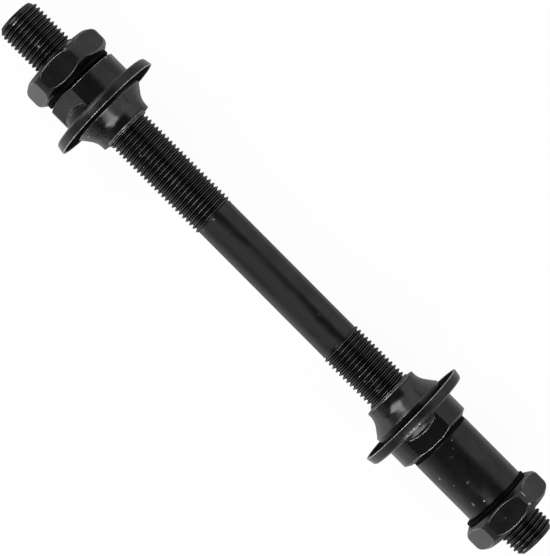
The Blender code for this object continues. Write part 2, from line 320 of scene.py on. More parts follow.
def turn_outline(name, outline, facets):
    """A solid of revolution round the X axis from a closed outline."""
    piece = draw_outline(name, outline + outline[:1])
    merge_doubles()
    bpy.ops.mesh.select_all(action="SELECT")
    bpy.ops.mesh.spin(steps=facets, angle=2 * math.pi, center=(0, 0, 0), axis=(1, 0, 0))
    merge_doubles()
    face_outwards()
    bpy.ops.object.mode_set(mode="OBJECT")
    return piece


def arc(centre_x, centre_radius, size, start, end, steps):
    """Points along a circular arc in the (x, radius) plane; angles are measured from +x."""
    points = []
    for step in range(steps + 1):
        turn = start + (end - start) * step / steps
        points.append((centre_x + size * math.cos(turn), centre_radius + size * math.sin(turn)))
    return points


def cut(piece, tool, operation):
    step = add_modifier(piece, "BOOLEAN")
    step.operation = operation
    step.solver = "EXACT"
    step.object = tool
    bpy.ops.object.modifier_apply(modifier=step.name)
    bpy.data.objects.remove(tool, do_unlink=True)


def ease_edges(piece, width, segments=2, sharper_than=28.0):
    """Round all the edges that are sharper than the given angle in degrees."""
    step = add_modifier(piece, "BEVEL")
    step.width = width
    step.segments = segments
    step.limit_method = "ANGLE"
    step.angle_limit = math.radians(sharper_than)
    step.miter_outer = "MITER_ARC"
    bpy.ops.object.modifier_apply(modifier=step.name)


def set_in_place(piece, x=0.0, y=0.0, turn=0.0, end_for_end=False, tilt=0.0):
    """Turn a piece end for end, tilt it, turn it about the axle and move it to its seat."""
    select_only(piece)
    for upright_turn in (math.pi if end_for_end else 0.0, tilt):
        if upright_turn:
            piece.rotation_euler = (0.0, 0.0, upright_turn)
            bpy.ops.object.transform_apply(location=False, rotation=True, scale=False)
    piece.rotation_euler = (turn, 0.0, 0.0)
    piece.location = (x, y, 0.0)
    bpy.ops.object.transform_apply(location=True, rotation=True, scale=False)


def dress(piece, node, body, material, smooth=30.0, flats=False):
    """Finish a piece that stands for a node of the frame; flats keeps its flat faces flat."""
    select_only(piece)
    bpy.ops.object.shade_smooth_by_angle(angle=math.radians(smooth))
    if flats:
        step = add_modifier(piece, "WEIGHTED_NORMAL")
        step.keep_sharp = True
        bpy.ops.object.modifier_apply(modifier=step.name)
    piece.data.materials.clear()
    piece.data.materials.append(material)
    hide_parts(node)
    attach(piece, body)


# Finishes

# The caps' insides in painted shade, the race's patch of painted shade, the painted light on the
# shank's near side, bare steel for wear and painted glints, and the oxide's grain
INSIDE_PAINTED_SHADE = (0.030, 0.030, 0.030, 1.0)
INSIDE_SHADE_ROUGHNESS = 0.7
PAINTED_SHADE_OXIDE = (0.016, 0.016, 0.016, 1.0)
NEAR_LIGHT_ROUGHNESS = 0.50
BARE_METAL = 0.7
BARE_ROUGHNESS = 0.36
GRAIN_STRENGTH = 0.35


def new_material(name):
    material = bpy.data.materials.new(name)
    material.use_nodes = True
    tree = material.node_tree
    return material, tree, tree.nodes["Principled BSDF"]


def new_group(name, inputs, numbers, vectors=()):
    """A node group that reads a place and the inputs, and puts out numbers and vectors."""
    tree = bpy.data.node_groups.new(name, "ShaderNodeTree")
    number = "NodeSocketFloat"
    vector = "NodeSocketVector"
    tree.interface.new_socket("Vector", in_out="INPUT", socket_type=vector)
    for label, default in inputs.items():
        kind = vector if isinstance(default, tuple) else number
        socket = tree.interface.new_socket(label, in_out="INPUT", socket_type=kind)
        socket.default_value = default
    for labels, kind in ((numbers, number), (vectors, vector)):
        for label in labels:
            tree.interface.new_socket(label, in_out="OUTPUT", socket_type=kind)
    given = tree.nodes.new("NodeGroupInput").outputs
    result = tree.nodes.new("NodeGroupOutput").inputs
    return tree, given, result


def feed(tree, socket, value):
    """Link a socket to another one, or set a number, colour or vector on it."""
    if isinstance(value, (int, float, tuple)):
        socket.default_value = value
    else:
        tree.links.new(value, socket)


def math_node(tree, operation, first, second=None, clamp=False):
    step = tree.nodes.new("ShaderNodeMath")
    step.operation = operation
    step.use_clamp = clamp
    feed(tree, step.inputs[0], first)
    if second is not None:
        feed(tree, step.inputs[1], second)
    return step.outputs[0]


def vector_math(tree, operation, first, second=None):
    step = tree.nodes.new("ShaderNodeVectorMath")
    step.operation = operation
    feed(tree, step.inputs[0], first)
    if second is not None:
        feed(tree, step.inputs[1], second)
    gives_number = operation in ("DOT_PRODUCT", "LENGTH")
    return step.outputs["Value" if gives_number else "Vector"]


def separate(tree, vector):
    """The x, y and z sockets of a vector."""
    parts = tree.nodes.new("ShaderNodeSeparateXYZ")
    tree.links.new(vector, parts.inputs[0])
    return parts.outputs["X"], parts.outputs["Y"], parts.outputs["Z"]


def map_range(tree, value, low, high, to_low=0.0, to_high=1.0):
    step = tree.nodes.new("ShaderNodeMapRange")
    ends = {"From Min": low, "From Max": high, "To Min": to_low, "To Max": to_high}
    for label, number in ends.items():
        step.inputs[label].default_value = number
    tree.links.new(value, step.inputs["Value"])
    return step.outputs["Result"]


def noise(tree, vector, scale, detail=3.0, roughness=0.6):
    step = tree.nodes.new("ShaderNodeTexNoise")
    step.inputs["Scale"].default_value = scale
    step.inputs["Detail"].default_value = detail
    step.inputs["Roughness"].default_value = roughness
    tree.links.new(vector, step.inputs["Vector"])
    return step.outputs["Fac"]


def noise_between(tree, vector, scale, detail, low, high):
    """Noise stretched so that nearly all of it lies between two values."""
    return map_range(tree, noise(tree, vector, scale, detail), 0.3, 0.7, low, high)


def across_axle(tree, where):
    """The part of a place that lies across the axle, from its middle line."""
    return vector_math(tree, "MULTIPLY", where, (0.0, 1.0, 1.0))


def surface_normal(tree):
    return tree.nodes.new("ShaderNodeNewGeometry").outputs["Normal"]


def outward_share(tree, where):
    """How a surface faces: 1 away from the axle, 0 along it as on an end face, -1 towards it."""
    outward = vector_math(tree, "NORMALIZE", across_axle(tree, where))
    return vector_math(tree, "DOT_PRODUCT", outward, surface_normal(tree))


def edge_wear_group():
    """A mask of the sharp edges, broken up where the oxide has held, and the rounded normal."""
    inputs = {"Radius": 0.00012, "Amount": 1.0, "Least": 0.15}
    tree, given, result = new_group("Edge wear", inputs, numbers=("Mask",), vectors=("Normal",))
    bevel = tree.nodes.new("ShaderNodeBevel")
    bevel.samples = 8
    tree.links.new(given["Radius"], bevel.inputs["Radius"])
    agreement = vector_math(tree, "DOT_PRODUCT", bevel.outputs["Normal"], surface_normal(tree))
    edge = map_range(tree, agreement, low=0.998, high=0.965)
    patches = map_range(tree, noise(tree, given["Vector"], scale=900.0), low=0.36, high=0.58)
    breakup = math_node(tree, "MAXIMUM", patches, given["Least"])
    bare_mask = math_node(tree, "MULTIPLY", edge, breakup)
    scaled = math_node(tree, "MULTIPLY", bare_mask, given["Amount"], clamp=True)
    tree.links.new(scaled, result["Mask"])
    tree.links.new(bevel.outputs["Normal"], result["Normal"])
    return tree


def oxide_skin_group():
    """Cloudy tone, uneven gloss and fine grain of a chemically blackened surface."""
    inputs = {"Gloss": 0.38, "Unevenness": 0.10}
    tree, given, result = new_group("Oxide skin", inputs, numbers=("Tone", "Roughness", "Grain"))
    vector = given["Vector"]
    tone = noise_between(tree, vector, scale=220.0, detail=4.0, low=0.82, high=1.18)
    shift = noise_between(tree, vector, scale=420.0, detail=3.0, low=-1.0, high=1.0)
    spread = math_node(tree, "MULTIPLY", shift, given["Unevenness"])
    gloss = math_node(tree, "ADD", given["Gloss"], spread)
    grain = noise(tree, vector, scale=5200.0, detail=2.0)
    tree.links.new(tone, result["Tone"])
    tree.links.new(gloss, result["Roughness"])
    tree.links.new(grain, result["Grain"])
    return tree


def turning_marks_group():
    """Fine rings round the axle that a lathe tool leaves."""
    tree, given, result = new_group("Turning marks", {}, numbers=("Height",))
    along_and_across = (9000.0, 60.0, 60.0)
    stretched = vector_math(tree, "MULTIPLY", given["Vector"], along_and_across)
    tree.links.new(noise(tree, stretched, scale=1.0, detail=2.0), result["Height"])
    return tree


def scuffs_group():
    """Small nicks and rubbed specks in loose clusters, of which Spread makes more."""
    tree, given, result = new_group("Scuffs", {"Density": 0.5, "Spread": 0.0}, numbers=("Mask",))
    vector = given["Vector"]
    cells = tree.nodes.new("ShaderNodeTexVoronoi")
    cells.feature = "F1"
    cells.inputs["Scale"].default_value = 380.0
    tree.links.new(vector, cells.inputs["Vector"])
    spots = map_range(tree, cells.outputs["Distance"], low=0.10, high=0.04)
    clusters = noise(tree, vector, scale=300.0, detail=1.0)
    chance = math_node(tree, "ADD", clusters, given["Spread"])
    pick = map_range(tree, chance, low=0.60, high=0.66)
    kept = math_node(tree, "MULTIPLY", spots, pick)
    scaled = math_node(tree, "MULTIPLY", kept, given["Density"], clamp=True)
    tree.links.new(scaled, result["Mask"])
    return tree


def nick_and_painted_patch_group():
    """One small ragged patch with a given centre and half lengths: a rubbed nick, a painted glint or
    a patch of painted shade.
    """
    inputs = {"Centre": (0.0, 0.0, 0.0), "Extent": (0.001, 0.001, 1.0), "Strength": 0.5}
    tree, given, result = new_group("Nick and painted patch", inputs, numbers=("Mask",))
    vector = given["Vector"]
    offset = vector_math(tree, "SUBTRACT", vector, given["Centre"])
    reach = vector_math(tree, "LENGTH", vector_math(tree, "DIVIDE", offset, given["Extent"]))
    ragged = noise_between(tree, vector, scale=2600.0, detail=2.0, low=-0.6, high=0.6)
    inside = map_range(tree, math_node(tree, "ADD", reach, ragged), low=1.0, high=0.3)
    strong = math_node(tree, "MULTIPLY", inside, given["Strength"])
    tree.links.new(strong, result["Mask"])
    return tree


def corner_rub_and_highlight_group():
    """A mask of the rounded outer corner of a turned or pressed piece, broken up by noise: rubbed
    bare steel that also paints the corner's highlight.
    """
    tree, given, result = new_group("Corner rub and highlight", {"Amount": 0.5}, numbers=("Mask",))
    vector = given["Vector"]
    leaning = outward_share(tree, vector)
    rising = map_range(tree, leaning, low=0.05, high=0.12)
    falling = map_range(tree, leaning, low=0.62, high=0.40)
    band = math_node(tree, "MULTIPLY", rising, falling)
    patches = noise(tree, vector, scale=500.0)
    breakup = map_range(tree, patches, low=0.36, high=0.60, to_low=0.35, to_high=1.0)
    rubbed = math_node(tree, "MULTIPLY", band, breakup)
    strong = math_node(tree, "MULTIPLY", rubbed, given["Amount"])
    tree.links.new(strong, result["Mask"])
    return tree


def shared_groups():
    makers = {
        "Edge wear": edge_wear_group,
        "Oxide skin": oxide_skin_group,
        "Turning marks": turning_marks_group,
        "Scuffs": scuffs_group,
        "Nick and painted patch": nick_and_painted_patch_group,
        "Corner rub and highlight": corner_rub_and_highlight_group,
    }
    return {name: bpy.data.node_groups.get(name) or maker() for name, maker in makers.items()}


def place_group(tree, group, vector, **values):
    step = tree.nodes.new("ShaderNodeGroup")
    step.node_tree = group
    tree.links.new(vector, step.inputs["Vector"])
    for label, value in values.items():
        step.inputs[label].default_value = value
    return step


def mix_colour(tree, factor, first, second):
    step = tree.nodes.new("ShaderNodeMix")
    step.data_type = "RGBA"
    feed(tree, step.inputs[0], factor)
    feed(tree, step.inputs[6], first)
    feed(tree, step.inputs[7], second)
    return step.outputs[2]


def mix_value(tree, factor, first, second):
    step = tree.nodes.new("ShaderNodeMix")
    step.data_type = "FLOAT"
    feed(tree, step.inputs[0], factor)
    feed(tree, step.inputs[2], first)
    feed(tree, step.inputs[3], second)
    return step.outputs[0]


def shank_light_mask(tree, where, left, right):
    """The plain shank, and on it the blotchy streak of painted light on its near side."""
    blend = 0.3 * MM
    ragged = 0.5 * MM
    bulge_centre = -1.5 * MM
    bulge_reach = 10.0 * MM
    bulge_core = 6.0 * MM
    bulge_height = 0.6 * MM
    faint = 0.1
    x, y, _ = separate(tree, where)
    after_left = map_range(tree, x, left - blend, left + blend)
    before_right = map_range(tree, x, right + blend, right - blend)
    shank = math_node(tree, "MULTIPLY", after_left, before_right)
    drift = noise_between(tree, where, scale=150.0, detail=4.0, low=-ragged, high=ragged)
    edge = math_node(tree, "ADD", y, drift)
    from_centre = math_node(tree, "ABSOLUTE", math_node(tree, "SUBTRACT", x, bulge_centre))
    wider = map_range(tree, from_centre, bulge_reach, bulge_core, 0.0, bulge_height)
    upper = math_node(tree, "SUBTRACT", edge, wider)
    rising = map_range(tree, upper, 1.0 * MM, -0.5 * MM, faint, 1.0)
    falling = map_range(tree, edge, -2.0 * MM, -3.0 * MM, 1.0, faint)
    near = math_node(tree, "MINIMUM", rising, falling)
    return math_node(tree, "MULTIPLY", shank, near)


def crest_rub_and_highlight_mask(tree, where, low, high):
    """The crests of a thread, from the distance to the axle's middle line: rubbed steel that also
    paints the crests' highlight lines.
    """
    reach = vector_math(tree, "LENGTH", across_axle(tree, where))
    crests = map_range(tree, reach, low, high)
    clouds = noise(tree, where, scale=260.0, detail=2.0)
    patches = map_range(tree, clouds, low=0.35, high=0.65, to_low=0.35, to_high=1.0)
    return math_node(tree, "MULTIPLY", crests, patches)


def inside_shade_mask(tree, where):
    """Surfaces that face the axle, such as the inside of a dust cap, which get painted shade."""
    return map_range(tree, outward_share(tree, where), low=-0.15, high=-0.45)


def place_mark(tree, group, where, mark):
    """The mask of one of the marks listed at the top: a rubbed mark, a painted glint or painted
    shade.
    """
    x, y, half_x, half_y, strength = mark
    patch = place_group(tree, group, where, Centre=(x * MM, y * MM, MARK_CENTRE),
                       Extent=(half_x * MM, half_y * MM, MARK_HALF_HEIGHT), Strength=strength)
    return patch.outputs["Mask"]


def blackened_steel(name, colour, bare, gloss=0.38, unevenness=0.08, rim=0.92, edge=0.00012,
                    wear=1.0, scuff=0.5, spread=0.0, grain=0.00001, turned=0.0, inside=False,
                    metal=1.0, corner=0.0, least=0.15, near_side_light=None, marks=(), shade_patches=(),
                    crest=None):
    """Steel with a black oxide skin, rubbed bright along its edges; edge and grain are sizes.
    Listed marks are rubbed spots or painted glints; the crest and corner masks paint highlights as
    bare steel;
    the inside mask, the shank's near side and the listed patches paint shade or light into the oxide.
    """
    groups = shared_groups()
    material, tree, shader = new_material(name)
    shader.inputs["Specular Tint"].default_value = (rim, rim, rim, 1.0)
    where = tree.nodes.new("ShaderNodeTexCoord").outputs["Object"]
    skin = place_group(tree, groups["Oxide skin"], where, Gloss=gloss, Unevenness=unevenness)
    rub = place_group(tree, groups["Edge wear"], where, Radius=edge, Amount=wear, Least=least)
    nicks = place_group(tree, groups["Scuffs"], where, Density=scuff, Spread=spread)
    bare_mask = math_node(tree, "MAXIMUM", rub.outputs["Mask"], nicks.outputs["Mask"], clamp=True)
    wear_and_painted_light = [place_mark(tree, groups["Nick and painted patch"], where, mark) for mark in marks]
    # The crests get bare steel for rubbed crests and for their painted highlight lines
    if crest:
        low, high, amount = crest
        wear_and_painted_light.append(math_node(tree, "MULTIPLY", crest_rub_and_highlight_mask(tree, where, low, high), amount))
    # The corner rub is rubbed bare steel that also paints the highlight on the rounded corner
    if corner:
        rubbed = place_group(tree, groups["Corner rub and highlight"], where, Amount=corner)
        wear_and_painted_light.append(rubbed.outputs["Mask"])
    for mask in wear_and_painted_light:
        bare_mask = math_node(tree, "MAXIMUM", bare_mask, mask)
    dark = tree.nodes.new("ShaderNodeVectorMath")
    dark.operation = "SCALE"
    dark.inputs[0].default_value = tuple(colour)
    tree.links.new(skin.outputs["Tone"], dark.inputs["Scale"])
    oxide = dark.outputs["Vector"]
    roughness = skin.outputs["Roughness"]
    # Painted shade: surfaces that face the axle, such as the caps' insides, get a darker and rougher
    # oxide
    if inside:
        shaded = inside_shade_mask(tree, where)
        oxide = mix_colour(tree, shaded, oxide, INSIDE_PAINTED_SHADE)
        roughness = mix_value(tree, shaded, roughness, INSIDE_SHADE_ROUGHNESS)
    # Painted light: thin below is the mask of a lighter, blotchy oxide on the shank's near side
    if near_side_light:
        tint_there, left, right = near_side_light
        thin = shank_light_mask(tree, where, left, right)
        oxide = mix_colour(tree, thin, oxide, (*tint_there, 1.0))
        roughness = mix_value(tree, thin, roughness, NEAR_LIGHT_ROUGHNESS)
    # Patches of painted shade darken the oxide
    for shade_patch in shade_patches:
        mask = place_mark(tree, groups["Nick and painted patch"], where, shade_patch)
        oxide = mix_colour(tree, mask, oxide, PAINTED_SHADE_OXIDE)
    tree.links.new(mix_colour(tree, bare_mask, oxide, (*bare, 1.0)), shader.inputs["Base Color"])
    tree.links.new(mix_value(tree, bare_mask, metal, BARE_METAL), shader.inputs["Metallic"])
    tree.links.new(mix_value(tree, bare_mask, roughness, BARE_ROUGHNESS), shader.inputs["Roughness"])
    bump = tree.nodes.new("ShaderNodeBump")
    bump.inputs["Strength"].default_value = GRAIN_STRENGTH
    bump.inputs["Distance"].default_value = grain
    height = skin.outputs["Grain"]
    if turned:
        rings = place_group(tree, groups["Turning marks"], where)
        ridges = math_node(tree, "MULTIPLY", rings.outputs["Height"], turned)
        height = math_node(tree, "ADD", height, ridges)
    tree.links.new(height, bump.inputs["Height"])
    tree.links.new(rub.outputs["Normal"], bump.inputs["Normal"])
    tree.links.new(bump.outputs["Normal"], shader.inputs["Normal"])
    return material


# Axle

def thread_turn(rod, start):
    """One pitch of the thread's outline: rounded crest, flanks and rounded root."""
    crest = rod.crest / 2
    root = rod.root / 2
    pitch = rod.pitch
    eased = 0.02 * MM
    shape = (
        (0.000, root),
        (0.100, root + eased),
        (0.415, crest - eased),
        (0.455, crest),
        (0.545, crest),
        (0.585, crest - eased),
        (0.900, root + eased),
        (1.000, root),
    )
    return [(start + share_of_pitch * pitch, radius) for share_of_pitch, radius in shape]


def turn_down(rod, half, x):
    """Lowest and highest radius that the finished axle has at x."""
    crest = rod.crest / 2
    shank = rod.shank / 2
    to_end = half - abs(x)
    high = min(crest, crest - rod.end_chamfer + max(to_end, 0.0))
    low = 0.0
    thread = rod.left_thread if x < 0 else rod.right_thread
    into_shank = to_end - thread
    if into_shank > 0:
        return shank, shank
    fading = 1.0 + into_shank / rod.fade
    if fading > 0:
        low = shank * fading + rod.root / 2 * (1.0 - fading)
        high = min(high, crest + (shank - crest) * max(0.0, 2.0 * fading - 1.0))
    return low, high


class HUBAXLE_OT_rod(Operator):
    """Build the threaded hollow axle"""
    bl_idname = "hubaxle.rod"
    bl_label = "Axle"

    def execute(self, context):
        settings = context.scene.hub_axle
        rod = settings.rod
        finish = settings.finish
        low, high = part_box("axle")
        half = (high.x - low.x) / 2
        start = -half - rod.pitch
        turns = math.ceil((2 * half + 2 * rod.pitch) / rod.pitch)
        piece = draw_outline("hollow_axle", thread_turn(rod, start))
        bpy.ops.object.mode_set(mode="OBJECT")
        coil = add_modifier(piece, "SCREW")
        coil.axis = "X"
        coil.angle = 2 * math.pi
        coil.screw_offset = rod.pitch
        coil.iterations = turns
        coil.steps = rod.facets
        coil.render_steps = rod.facets
        coil.use_smooth_shade = True
        bpy.ops.object.modifier_apply(modifier=coil.name)
        for vertex in piece.data.vertices:
            radius = math.hypot(vertex.co.y, vertex.co.z)
            lowest, highest = turn_down(rod, half, vertex.co.x)
            scale = min(max(radius, lowest), highest) / radius
            vertex.co.y *= scale
            vertex.co.z *= scale
        bpy.ops.object.mode_set(mode="EDIT")
        merge_doubles()
        face_outwards()
        for side in (-1.0, 1.0):
            bpy.ops.mesh.select_all(action="SELECT")
            bpy.ops.mesh.bisect(plane_co=(side * half, 0, 0), plane_no=(side, 0, 0), threshold=WELD,
                                use_fill=True, clear_outer=True)
        self.bore(piece, rod, half)
        crest_foot = rod.crest / 2 - 0.10 * MM
        crest_top = rod.crest / 2 - 0.02 * MM
        crest_rub_and_highlight = 0.11
        shank_from = rod.left_thread - half
        shank_to = half - rod.right_thread
        # The axle's crests and glints are painted highlights, and its shank's near side gets painted
        # light
        material = blackened_steel("axle black oxide", finish.oxide, finish.bare,
                                   gloss=0.26, edge=0.00006, wear=0.0, scuff=0.3, spread=0.04,
                                   marks=AXLE_PAINTED_GLINTS, crest=(crest_foot, crest_top, crest_rub_and_highlight),
                                   near_side_light=(finish.near_side_light, shank_from, shank_to))
        dress(piece, "axle", "axle", material, smooth=24.0)
        return {"FINISHED"}

    def bore(self, piece, rod, half):
        """Inset both end faces to the bore's mouth, sink the countersink and bridge through."""
        end_radius = rod.crest / 2 - rod.end_chamfer
        mouth = rod.bore / 2 + rod.bore_chamfer
        few_corners = 12
        bpy.ops.mesh.select_all(action="DESELECT")
        bpy.ops.mesh.select_mode(type="FACE")
        bpy.ops.object.mode_set(mode="OBJECT")
        for face in piece.data.polygons:
            at_end = abs(abs(face.center.x) - half) < WELD
            face.select = at_end and len(face.vertices) > few_corners
        bpy.ops.object.mode_set(mode="EDIT")
        bpy.ops.mesh.inset(thickness=end_radius - mouth, depth=0.0)
        bpy.ops.mesh.inset(thickness=rod.bore_chamfer, depth=-rod.bore_chamfer)
        bpy.ops.mesh.bridge_edge_loops()
        face_outwards()
        bpy.ops.object.mode_set(mode="OBJECT")


# Lock nuts

def nut_outline(nuts, thickness, hole):
    corner = nuts.corner / 2
    face = corner - nuts.chamfer
    centre_radius = corner - nuts.corner_round
    round_start = centre_radius + nuts.corner_round * math.cos(nuts.chamfer_slope)
    chamfer_length = (round_start - face) / math.tan(nuts.chamfer_slope)
    centre_x = chamfer_length + nuts.corner_round * math.sin(nuts.chamfer_slope)
    lead = nuts.thread_lead
    side = [(lead, hole), (0.0, hole + lead), (0.0, face)]
    side += arc(centre_x, centre_radius, nuts.corner_round,
                math.pi / 2 + nuts.chamfer_slope, math.pi / 2, steps=6)
    return side + [(thickness - x, radius) for x, radius in reversed(side)]


class HUBAXLE_OT_lock_nuts(Operator):
    """Build both hexagonal lock nuts"""
    bl_idname = "hubaxle.lock_nuts"
    bl_label = "Lock nuts"

    def execute(self, context):
        settings = context.scene.hub_axle
        nuts = settings.nuts
        finish = settings.finish
        hole = settings.rod.crest / 2 + HOLE_CLEARANCE
        material = blackened_steel("nut black oxide", finish.nut_oxide, finish.bare,
                                   gloss=0.26, unevenness=0.04, edge=0.00016, wear=2.4, least=0.6,
                                   scuff=0.5, grain=0.000012, metal=0.98, marks=NUT_MARKS)
        for side, turn in (("left", nuts.left_turn), ("right", nuts.right_turn)):
            low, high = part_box(side + "_lock_nut")
            thickness = high.x - low.x
            outline = nut_outline(nuts, thickness, hole)
            piece = turn_outline(side + "_hexagon_nut", outline, nuts.facets)
            deselect_all()
            bpy.ops.mesh.primitive_cylinder_add(
                vertices=6, radius=nuts.flats / math.sqrt(3.0), depth=2 * thickness,
                location=(thickness / 2, 0, 0), rotation=(0, math.pi / 2, 0))
            cut(piece, bpy.context.object, "INTERSECT")
            ease_edges(piece, nuts.edge)
            set_in_place(piece, x=low.x, turn=turn)
            dress(piece, side + "_lock_nut", side + "_nut", material, flats=True)
        return {"FINISHED"}


# Washers and the spacer

class HUBAXLE_OT_rings(Operator):
    """Build the three thin washers and the long spacer"""
    bl_idname = "hubaxle.rings"
    bl_label = "Washers and spacer"

    def execute(self, context):
        settings = context.scene.hub_axle
        rings = settings.rings
        finish = settings.finish
        # The washers' near-black is partly painted shade in the gaps between the pieces
        washer = blackened_steel("washer black oxide", finish.washer_oxide_and_gap_shade, finish.bare,
                                 gloss=0.50, rim=0.5, edge=0.00004, wear=0.3, scuff=0.2,
                                 metal=0.97)
        spacer = blackened_steel("spacer black oxide", finish.oxide, finish.bare,
                                 gloss=0.28, unevenness=0.06, edge=0.00010, wear=0.4, scuff=1.0,
                                 turned=0.5, marks=SPACER_MARKS)
        plan = (
            ("left_lock_washer", "thin_washer_left", "left_washer_slide", washer, "washer_steel"),
            ("right_lock_washer", "thin_washer_right", "right_spacer_slide", washer, "washer_steel"),
            ("right_inner_washer", "thin_washer_inner", "right_spacer_slide", washer, "washer_steel"),
            ("right_spacer", "long_spacer", "right_spacer_slide", spacer, "spacer_steel"),
        )
        for node, name, body, material, slot in plan:
            low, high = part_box(node)
            long_one = node == "right_spacer"
            fill = rings.spacer_fill if long_one else rings.gap_fill
            width = high.x - low.x + 2 * fill
            outer = (high.z - low.z) / 2
            shift = (high.y + low.y) / 2
            bore = settings.rod.crest / 2 + LOOSE_CLEARANCE + abs(shift)
            outline = [(0.0, bore), (0.0, outer), (width, outer), (width, bore)]
            piece = turn_outline(name, outline, rings.facets)
            edge = rings.spacer_edge if long_one else rings.washer_edge
            ease_edges(piece, edge, segments=3)
            set_in_place(piece, x=low.x - fill, y=shift)
            dress(piece, node, body, material)
        return {"FINISHED"}


# Cones

def cone_outline(cones, whole, hole):
    face = cones.face / 2
    body = cones.body / 2
    nose = cones.nose / 2
    nose_edge = whole - cones.lip_length
    race_start = nose_edge - cones.race_length
    tangent_radius = nose + cones.race_round * (1.0 - math.cos(cones.race_angle))
    lip_end = race_start + cones.race_lip
    lip_foot = body - cones.race_lip_drop
    tangent_x = lip_end + (lip_foot - tangent_radius) / math.tan(cones.race_angle)
    centre_x = tangent_x + cones.race_round * math.sin(cones.race_angle)
    lead = 0.4 * MM
    outline = [
        (lead, hole),
        (0.0, hole + lead),
        (0.0, face),
        (cones.chamfer, body),
        (race_start, body),
        (lip_end, lip_foot),
    ]
    outline += arc(centre_x, nose + cones.race_round, cones.race_round,
                   -math.pi / 2 - cones.race_angle, -math.pi / 2, steps=10)
    outline += [(nose_edge, nose), (nose_edge, cones.nose_lip / 2),
                (whole, cones.nose_lip / 2), (whole, hole)]
    return outline


def wrench_flat_tool(cones, side):
    """Outside the flat's plane, from beyond the outer face up to the sloping collar."""
    flat = cones.flats / 2
    foot = cones.collar_rise / cones.collar_run
    foot_end = cones.flat_length + cones.collar_run
    slope = ((cones.body / 2 - flat - cones.collar_rise)
             / (cones.collar_slope - cones.collar_run))
    spare = 1.0 * MM
    outside = cones.body
    tool = turn_outline("flat_tool", [
        (-spare, flat - spare),
        (cones.flat_length - spare / foot, flat - spare),
        (foot_end, flat + cones.collar_rise),
        (foot_end + (outside - flat - cones.collar_rise) / slope, outside),
        (-spare, outside),
    ], cones.collar_facets)
    bpy.ops.object.mode_set(mode="EDIT")
    bpy.ops.mesh.select_all(action="SELECT")
    bpy.ops.mesh.bisect(plane_co=(0, 0, side * flat), plane_no=(0, 0, side), threshold=WELD,
                        use_fill=True, clear_inner=True)
    face_outwards()
    bpy.ops.object.mode_set(mode="OBJECT")
    return tool


class HUBAXLE_OT_cones(Operator):
    """Build both bearing cones"""
    bl_idname = "hubaxle.cones"
    bl_label = "Bearing cones"

    def execute(self, context):
        settings = context.scene.hub_axle
        cones = settings.cones
        finish = settings.finish
        hole = settings.rod.crest / 2 + HOLE_CLEARANCE
        material = blackened_steel("cone black oxide", finish.oxide, finish.bare,
                                   gloss=0.22, unevenness=0.05, edge=0.00013, wear=0.9, least=0.25,
                                   turned=0.4, metal=0.94)
        # The ground race carries a patch of painted shade
        race = blackened_steel("ground race", finish.race, finish.bare, gloss=0.20,
                               unevenness=0.05, edge=0.00012, wear=0.6, least=0.25,
                               scuff=0.6, turned=0.3, shade_patches=RACE_PAINTED_SHADE)
        for side, turn in (("left", cones.left_turn), ("right", cones.right_turn)):
            low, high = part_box(side + "_cone")
            whole = high.x - low.x
            piece = turn_outline(side + "_bearing_cone", cone_outline(cones, whole, hole),
                                 cones.facets)
            for way in (1.0, -1.0):
                cut(piece, wrench_flat_tool(cones, way), "DIFFERENCE")
            ease_edges(piece, cones.edge, sharper_than=24.0)
            nose_edge = whole - cones.lip_length
            race_start = nose_edge - cones.race_length
            race_faces = [race_start + WELD < face.center.x < nose_edge
                          and math.hypot(face.center.y, face.center.z) > cones.nose / 2 - WELD
                          for face in piece.data.polygons]
            right = side == "right"
            set_in_place(piece, x=high.x if right else low.x, turn=turn, end_for_end=right)
            dress(piece, side + "_cone", side + "_cone", material, smooth=24.0,
                  flats=True)
            piece.data.materials.append(race)
            for face, in_race in zip(piece.data.polygons, race_faces):
                face.material_index = 1 if in_race else 0
        return {"FINISHED"}


# Dust caps

def cap_outline(caps, hole):
    """Section of the pressed cup, with the middle of its depth at zero."""
    back = caps.back / 2
    mouth = caps.mouth / 2
    least_inner = caps.sheet / 5
    inner = max(caps.corner - caps.sheet, least_inner)
    outside = arc(caps.corner, back - caps.corner, caps.corner, math.pi, math.pi / 2, steps=8)
    inside = arc(caps.sheet + inner, back - caps.sheet - inner, inner, math.pi / 2, math.pi, steps=4)
    section = [(0.0, hole)] + outside
    section += [(caps.depth, mouth), (caps.depth, mouth - caps.sheet)]
    section += inside + [(caps.sheet, hole)]
    return [(x - caps.depth / 2, radius) for x, radius in section]


class HUBAXLE_OT_dust_caps(Operator):
    """Build both pressed dust caps"""
    bl_idname = "hubaxle.dust_caps"
    bl_label = "Dust caps"

    def execute(self, context):
        settings = context.scene.hub_axle
        caps = settings.caps
        finish = settings.finish
        hole = settings.cones.body / 2 + HOLE_CLEARANCE
        # The caps get painted shade inside, painted glints, and a corner rub that also paints the
        # corner's highlight
        material = blackened_steel("cap black oxide", finish.cap_oxide, finish.bare,
                                   gloss=0.33, edge=0.00018, wear=2.0, least=0.4,
                                   corner=0.75, inside=True, marks=CAP_PAINTED_GLINTS)
        for side, tilt in (("left", caps.left_tilt), ("right", caps.right_tilt)):
            low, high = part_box(side + "_dust_cap")
            piece = turn_outline(side + "_pressed_cap", cap_outline(caps, hole), caps.facets)
            ease_edges(piece, caps.edge, segments=3)
            set_in_place(piece, x=(low.x + high.x) / 2, end_for_end=side == "right", tilt=tilt)
            dress(piece, side + "_dust_cap", side + "_cap_slide", material)
        return {"FINISHED"}


# Stage

# Soft boxes, in metres, and the watts per square metre that give them a brightness of one
BOX_REACH = 0.60
BOX_ACROSS = -0.22
BOX_HEIGHT = 0.50
BOX_SIZE = (0.54, 0.56)
WATTS_PER_AREA = 4.0

